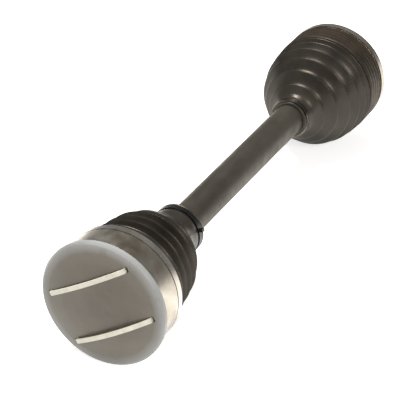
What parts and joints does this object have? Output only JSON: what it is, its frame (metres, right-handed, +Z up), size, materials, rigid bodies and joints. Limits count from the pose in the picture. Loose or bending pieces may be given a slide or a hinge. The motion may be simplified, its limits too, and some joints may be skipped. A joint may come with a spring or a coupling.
{
  "type": "cv axle",
  "caption": "Drive shaft with a flanged, plunging constant-velocity ball joint and rubber bellows at each end, one end under a transport cap.",
  "frame": {"origin": "on the shaft's axis, midway between the two joint centres", "axes": "X along the shaft, inboard end at -X, outboard end at +X; +Z up"},
  "size_m": [0.4635, 0.106, 0.106],
  "materials": {
    "shaft_paint": "satin",
    "race_steel": "satin",
    "ground_steel": "ground",
    "ball_steel": "polished",
    "sheet_steel": "zinc plated",
    "boot_rubber": "satin",
    "cap_plastic": "milky, translucent",
    "strap_plastic": "satin"
  },
  "bodies": {
    "axle": {"drive_shaft": "shaft_paint", "inboard_inner_race": "ground_steel", "inboard_circlip": "ground_steel", "inboard_washer": "ground_steel", "inboard_boot_clamp": "sheet_steel", "outboard_inner_race": "ground_steel", "outboard_circlip": "ground_steel", "outboard_washer": "ground_steel", "outboard_boot_clamp": "sheet_steel"},
    "inboard_upper_ball": {"inboard_ball_1": "ball_steel"},
    "inboard_cage_set": {"inboard_cage": "ground_steel", "inboard_ball_2": "ball_steel", "inboard_ball_3": "ball_steel", "inboard_ball_5": "ball_steel", "inboard_ball_6": "ball_steel"},
    "inboard_lower_ball": {"inboard_ball_4": "ball_steel"},
    "inboard_bellows": {"inboard_boot": "boot_rubber"},
    "inboard_housing": {"inboard_outer_race": "race_steel", "inboard_boot_can": "sheet_steel", "transport_cap": "cap_plastic", "transport_strap_1": "strap_plastic", "transport_strap_2": "strap_plastic"},
    "outboard_upper_ball": {"outboard_ball_1": "ball_steel"},
    "outboard_cage_set": {"outboard_cage": "ground_steel", "outboard_ball_2": "ball_steel", "outboard_ball_3": "ball_steel", "outboard_ball_5": "ball_steel", "outboard_ball_6": "ball_steel"},
    "outboard_lower_ball": {"outboard_ball_4": "ball_steel"},
    "outboard_bellows": {"outboard_boot": "boot_rubber"},
    "outboard_housing": {"outboard_outer_race": "race_steel", "outboard_boot_can": "sheet_steel"}
  },
  "joints": [
    {"name": "inboard_swing", "type": "hinge", "parent": "axle", "child": "inboard_upper_ball", "pos_m": [-0.2085, 0, 0], "axis": [0, 1, 0], "range_deg": [-6.5, 6.5], "deforming": ["inboard_boot"]},
    {"name": "inboard_sweep", "type": "hinge", "parent": "inboard_upper_ball", "child": "inboard_cage_set", "pos_m": [-0.2085, 0, 0], "axis": [0, 0, 1], "range_deg": [-6.5, 6.5]},
    {"name": "inboard_sweep_outer", "type": "hinge", "parent": "inboard_cage_set", "child": "inboard_lower_ball", "pos_m": [-0.2085, 0, 0], "axis": [0, 0, 1], "range_deg": [-6.6, 6.6]},
    {"name": "inboard_swing_outer", "type": "hinge", "parent": "inboard_lower_ball", "child": "inboard_bellows", "pos_m": [-0.2085, 0, 0], "axis": [0, 1, 0], "range_deg": [-6.6, 6.6]},
    {"name": "inboard_plunge", "type": "slide", "parent": "inboard_bellows", "child": "inboard_housing", "axis": [-1, 0, 0], "range_m": [-0.005, 0.007]},
    {"name": "outboard_swing", "type": "hinge", "parent": "axle", "child": "outboard_upper_ball", "pos_m": [0.2085, 0, 0], "axis": [0, 1, 0], "range_deg": [-6.5, 6.5], "deforming": ["outboard_boot"]},
    {"name": "outboard_sweep", "type": "hinge", "parent": "outboard_upper_ball", "child": "outboard_cage_set", "pos_m": [0.2085, 0, 0], "axis": [0, 0, 1], "range_deg": [-6.5, 6.5]},
    {"name": "outboard_sweep_outer", "type": "hinge", "parent": "outboard_cage_set", "child": "outboard_lower_ball", "pos_m": [0.2085, 0, 0], "axis": [0, 0, 1], "range_deg": [-6.6, 6.6]},
    {"name": "outboard_swing_outer", "type": "hinge", "parent": "outboard_lower_ball", "child": "outboard_bellows", "pos_m": [0.2085, 0, 0], "axis": [0, 1, 0], "range_deg": [-6.6, 6.6]},
    {"name": "outboard_plunge", "type": "slide", "parent": "outboard_bellows", "child": "outboard_housing", "axis": [1, 0, 0], "range_m": [-0.005, 0.007]}
  ],
  "couplings": [
    {"joint": "inboard_sweep_outer", "follows": "inboard_sweep", "ratio": 1},
    {"joint": "inboard_swing_outer", "follows": "inboard_swing", "ratio": 1},
    {"joint": "outboard_sweep_outer", "follows": "outboard_sweep", "ratio": 1},
    {"joint": "outboard_swing_outer", "follows": "outboard_swing", "ratio": 1}
  ]
}
